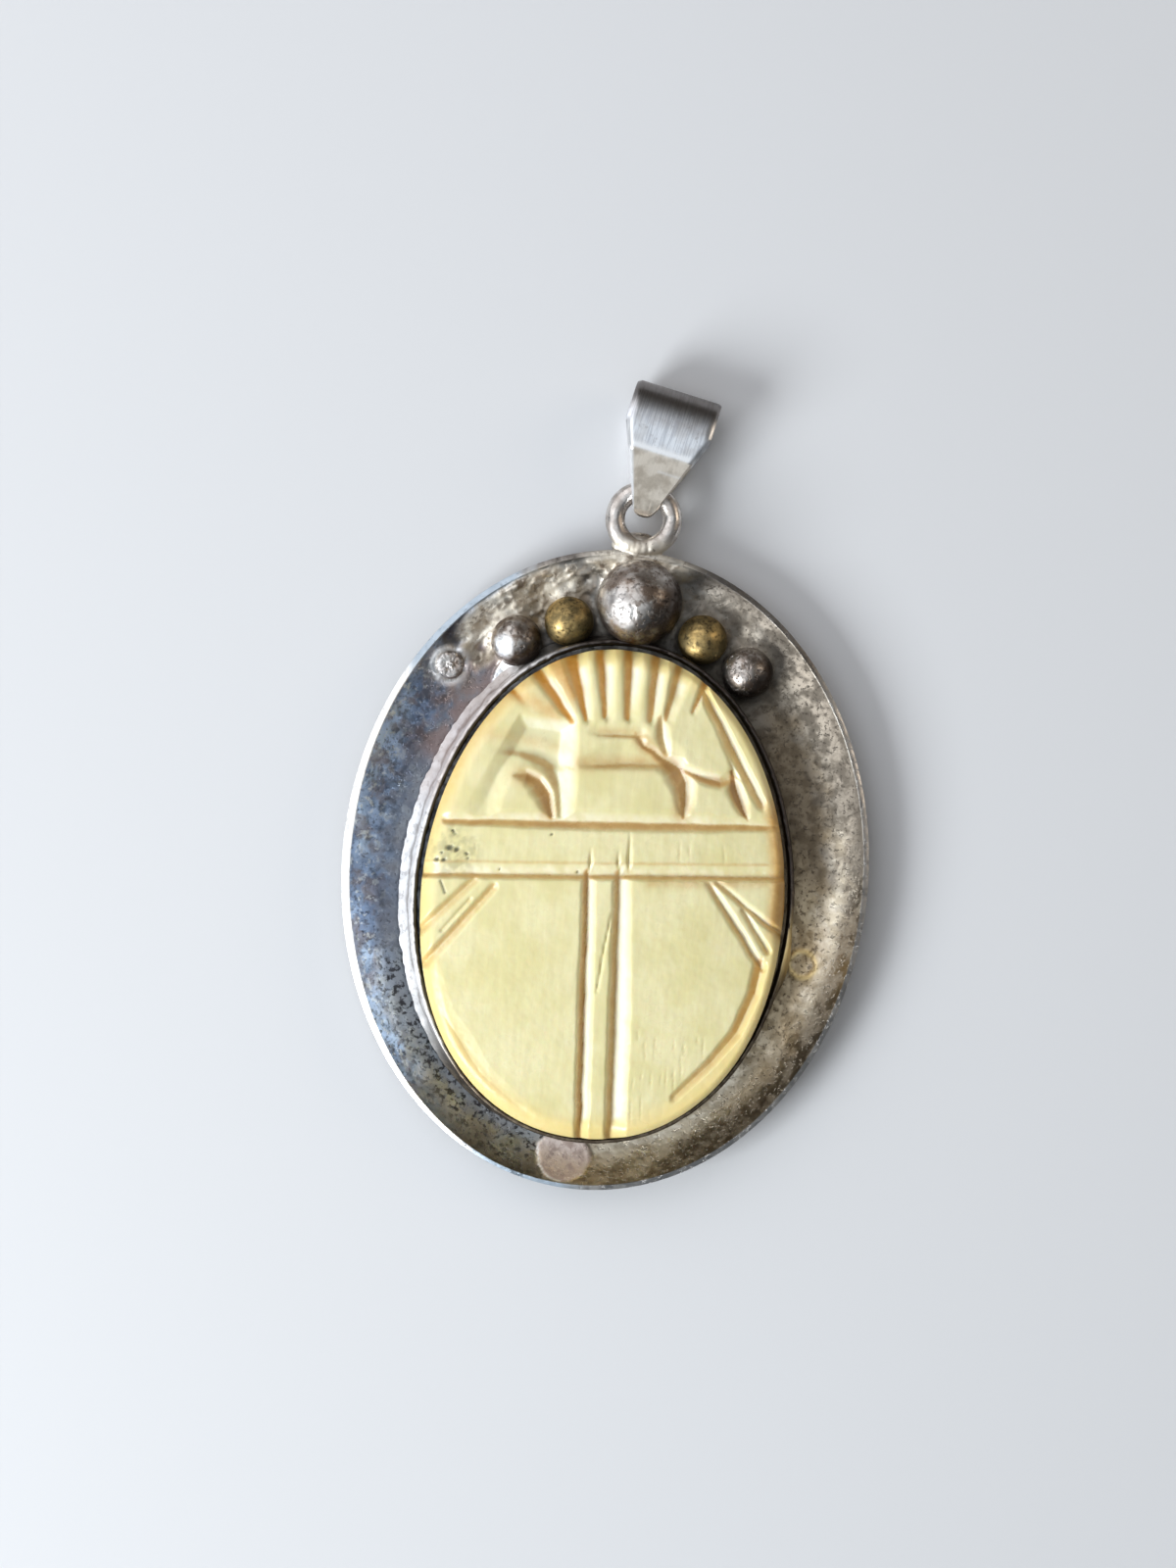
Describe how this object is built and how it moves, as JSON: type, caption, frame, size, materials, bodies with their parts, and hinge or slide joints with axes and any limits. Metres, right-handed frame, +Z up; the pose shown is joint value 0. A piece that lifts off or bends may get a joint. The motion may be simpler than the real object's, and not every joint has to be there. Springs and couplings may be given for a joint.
{
  "type": "scarab pendant",
  "caption": "Oval silver pendant with a carved bone scarab in a bezel, soldered balls above it, and a ring and folded bail to hang it by.",
  "frame": {"origin": "middle of the dish's oval, on the flat back that the pendant lies on", "axes": "+X across the pendant, +Y along it towards the bail, +Z up out of the carved face"},
  "size_m": [0.0336, 0.0518, 0.0057],
  "materials": {
    "tarnished_silver": "sterling silver, darkened and mottled with tarnish",
    "worn_silver": "sterling silver, brushed and rubbed bright by wear",
    "old_brass": "yellow metal ball, dulled brown",
    "carved_bone": "carved bone, satin, cream with brown in the cuts"
  },
  "bodies": {
    "root": {"dished_frame": "tarnished_silver", "bezel": "tarnished_silver", "scarab": "carved_bone", "large_ball": "tarnished_silver", "brass_ball_left": "old_brass", "brass_ball_right": "old_brass", "silver_ball_left": "tarnished_silver", "silver_ball_right": "tarnished_silver", "small_ball": "tarnished_silver", "jump_ring": "worn_silver", "bail": "worn_silver"}
  },
  "joints": []
}
